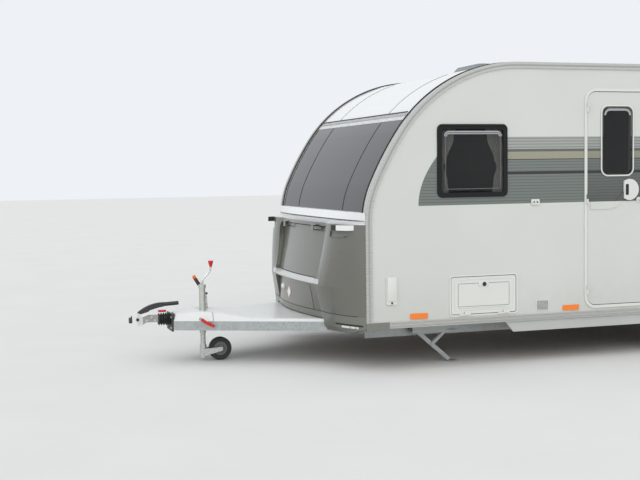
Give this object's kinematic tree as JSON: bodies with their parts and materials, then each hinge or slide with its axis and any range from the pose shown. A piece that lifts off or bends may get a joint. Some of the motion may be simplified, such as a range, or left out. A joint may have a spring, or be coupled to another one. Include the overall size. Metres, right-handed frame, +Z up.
{
  "type": "travel caravan",
  "caption": "Single-axle touring caravan with drawbar, overrun coupling, jockey wheel, corner steadies, hollow cabin, opening door, locker lid and hatch.",
  "frame": {"origin": "on the ground under the middle of the overall length and width", "axes": "+X rearward along the caravan, +Y to the side opposite the entrance, +Z up"},
  "size_m": [7.985, 2.34, 2.469],
  "materials": {
    "wall_white": "satin",
    "cap_white": "gloss",
    "panel_silver": "gloss",
    "bumper_grey": "satin",
    "trim_bright": "satin",
    "skirt_grey": "satin",
    "window_black": "satin",
    "window_tint": "gloss",
    "rooflight_white": "satin",
    "rooflight_smoke": "gloss",
    "lamp_red": "gloss",
    "door_white": "satin",
    "handle_grey": "satin",
    "curtain_cloth": "matte",
    "reflector_orange": "gloss",
    "floor_ply": "matte",
    "housing_black": "matte",
    "galvanised": "satin",
    "tyre_black": "matte",
    "rim_alloy": "satin",
    "cast_dark": "matte",
    "grip_black": "matte",
    "bellows_black": "matte",
    "cover_grey": "satin",
    "zinc": "satin",
    "wheel_rubber": "matte"
  },
  "bodies": {
    "body": {"side_wall_near": "wall_white", "side_wall_far": "wall_white", "roof_panel": "wall_white", "rear_panel": "wall_white", "front_ledge": "wall_white", "front_cap": "cap_white", "front_panel": "panel_silver", "front_bumper": "bumper_grey", "rear_bumper": "bumper_grey", "edge_trims": "trim_bright", "side_sills": "trim_bright", "side_skirts": "skirt_grey", "window_frames": "window_black", "window_panes": "window_tint", "front_panes": "window_tint", "rooflight_frames": "rooflight_white", "rooflight_domes": "rooflight_smoke", "rear_lamps": "lamp_red", "door_frame": "door_white", "hatch_frame": "door_white", "wall_fittings": "door_white", "grab_handles": "handle_grey", "curtains": "curtain_cloth", "side_reflectors": "reflector_orange", "floor_panel": "floor_ply", "locker_bulkhead": "floor_ply", "wheel_boxes": "housing_black", "chassis_frame": "galvanised", "axle": "galvanised", "steady_brackets": "galvanised", "coupling_head": "cast_dark", "overrun_housing": "cast_dark", "coupling_handle": "grip_black", "handbrake_lever": "grip_black", "bellows": "bellows_black", "drawbar_cover": "cover_grey", "jockey_clamp": "zinc", "jockey_tube": "zinc", "jockey_crank": "zinc"},
    "door": {"door_leaf": "door_white", "door_window": "window_tint", "door_handle": "handle_grey"},
    "locker_lid": {"locker_lid": "panel_silver"},
    "hatch": {"hatch_door": "door_white"},
    "wheel_near": {"tyre_near": "tyre_black", "rim_near": "rim_alloy"},
    "wheel_far": {"tyre_far": "tyre_black", "rim_far": "rim_alloy"},
    "jockey_leg": {"jockey_leg": "zinc"},
    "jockey_fork": {"jockey_fork": "zinc"},
    "jockey_wheel": {"jockey_wheel": "wheel_rubber"},
    "steady_leg_front_near": {"steady_leg_front_near": "galvanised"},
    "steady_brace_front_near": {"steady_brace_front_near": "galvanised"},
    "steady_leg_front_far": {"steady_leg_front_far": "galvanised"},
    "steady_brace_front_far": {"steady_brace_front_far": "galvanised"},
    "steady_leg_rear_near": {"steady_leg_rear_near": "galvanised"},
    "steady_brace_rear_near": {"steady_brace_rear_near": "galvanised"},
    "steady_leg_rear_far": {"steady_leg_rear_far": "galvanised"},
    "steady_brace_rear_far": {"steady_brace_rear_far": "galvanised"}
  },
  "joints": [
    {"name": "door_swing", "type": "hinge", "parent": "body", "child": "door", "pos_m": [-0.4365, -1.168, 0.435], "axis": [0, 0, -1], "range_deg": [0, 170]},
    {"name": "locker_lid_lift", "type": "hinge", "parent": "body", "child": "locker_lid", "pos_m": [-2.5275, 0, 1.12], "axis": [0, 1, 0], "range_deg": [0, 85]},
    {"name": "hatch_drop", "type": "hinge", "parent": "body", "child": "hatch", "pos_m": [-1.6455, -1.162, 0.413], "axis": [1, 0, 0], "range_deg": [0, 165]},
    {"name": "wheel_near_roll", "type": "hinge", "parent": "body", "child": "wheel_near", "pos_m": [0.7125, -1.045, 0.32], "axis": [0, 1, 0], "continuous": true},
    {"name": "wheel_far_roll", "type": "hinge", "parent": "body", "child": "wheel_far", "pos_m": [0.7125, 1.045, 0.32], "axis": [0, 1, 0], "continuous": true},
    {"name": "jockey_lift", "type": "slide", "parent": "body", "child": "jockey_leg", "axis": [0, 0, 1], "range_m": [-0.12, 0.08]},
    {"name": "jockey_swivel", "type": "hinge", "parent": "jockey_leg", "child": "jockey_fork", "pos_m": [-3.3945, -0.06, 0.04], "axis": [0, 0, 1], "continuous": true},
    {"name": "jockey_roll", "type": "hinge", "parent": "jockey_fork", "child": "jockey_wheel", "pos_m": [-3.2525, -0.06, 0.095], "axis": [0, 1, 0], "continuous": true},
    {"name": "steady_front_near_fold", "type": "hinge", "parent": "body", "child": "steady_leg_front_near", "pos_m": [-1.8205, -0.85, 0.262], "axis": [0, -1, 0], "range_deg": [0, 36]},
    {"name": "steady_front_near_brace", "type": "hinge", "parent": "steady_leg_front_near", "child": "steady_brace_front_near", "pos_m": [-1.68842, -0.85, 0.1472], "axis": [0, -1, 0], "range_deg": [-72, 0]},
    {"name": "steady_front_far_fold", "type": "hinge", "parent": "body", "child": "steady_leg_front_far", "pos_m": [-1.8205, 0.85, 0.262], "axis": [0, -1, 0], "range_deg": [0, 36]},
    {"name": "steady_front_far_brace", "type": "hinge", "parent": "steady_leg_front_far", "child": "steady_brace_front_far", "pos_m": [-1.68842, 0.85, 0.1472], "axis": [0, -1, 0], "range_deg": [-72, 0]},
    {"name": "steady_rear_near_fold", "type": "hinge", "parent": "body", "child": "steady_leg_rear_near", "pos_m": [3.4425, -0.85, 0.262], "axis": [0, 1, 0], "range_deg": [0, 36]},
    {"name": "steady_rear_near_brace", "type": "hinge", "parent": "steady_leg_rear_near", "child": "steady_brace_rear_near", "pos_m": [3.31042, -0.85, 0.1472], "axis": [0, 1, 0], "range_deg": [-72, 0]},
    {"name": "steady_rear_far_fold", "type": "hinge", "parent": "body", "child": "steady_leg_rear_far", "pos_m": [3.4425, 0.85, 0.262], "axis": [0, 1, 0], "range_deg": [0, 36]},
    {"name": "steady_rear_far_brace", "type": "hinge", "parent": "steady_leg_rear_far", "child": "steady_brace_rear_far", "pos_m": [3.31042, 0.85, 0.1472], "axis": [0, 1, 0], "range_deg": [-72, 0]}
  ],
  "couplings": [
    {"joint": "steady_front_near_brace", "follows": "steady_front_near_fold", "ratio": -2},
    {"joint": "steady_front_far_brace", "follows": "steady_front_far_fold", "ratio": -2},
    {"joint": "steady_rear_near_brace", "follows": "steady_rear_near_fold", "ratio": -2},
    {"joint": "steady_rear_far_brace", "follows": "steady_rear_far_fold", "ratio": -2}
  ]
}
